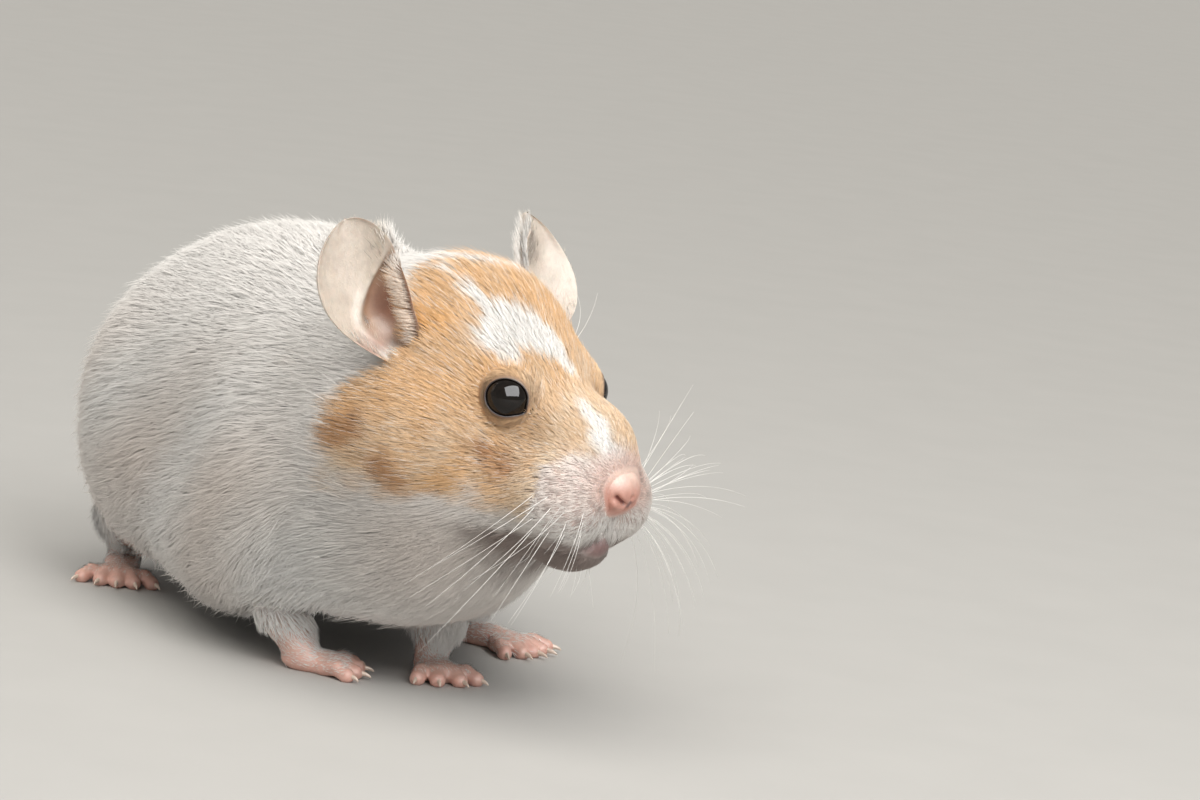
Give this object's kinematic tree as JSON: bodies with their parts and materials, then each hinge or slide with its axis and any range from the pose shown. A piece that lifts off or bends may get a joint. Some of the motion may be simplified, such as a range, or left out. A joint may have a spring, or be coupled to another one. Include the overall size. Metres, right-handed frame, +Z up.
{
  "type": "syrian hamster",
  "caption": "Life-size standing Syrian hamster in mid step, head turned to its left, white coat with a tan head and a white blaze, in named body parts.",
  "frame": {"origin": "middle of the animal's bounding box on the floor it stands on", "axes": "+Z up, the trunk faces -Y, +X is the animal's left side; the head is turned 34.5 degrees to its left"},
  "size_m": [0.067, 0.1168, 0.0653],
  "materials": {
    "coat": "soft short fur, white on the body, tan and cream on the head with a white blaze",
    "bare_skin": "thin pink skin of the ears, nose, lips, toes and soles",
    "eye": "wet glossy black",
    "claw": "pale, slightly see-through horn of the claws",
    "whisker": "fine white whiskers"
  },
  "bodies": {
    "root": {"trunk": "coat", "neck": "coat", "head": "coat", "tail": "coat", "nose": "bare_skin", "eye_left": "eye", "eye_right": "eye", "ear_left": "bare_skin", "ear_right": "bare_skin", "foreleg_left": "coat", "foreleg_right": "coat", "hindleg_left": "coat", "hindleg_right": "coat", "forefoot_left": "bare_skin", "forefoot_right": "bare_skin", "hindfoot_left": "bare_skin", "hindfoot_right": "bare_skin"}
  },
  "joints": []
}
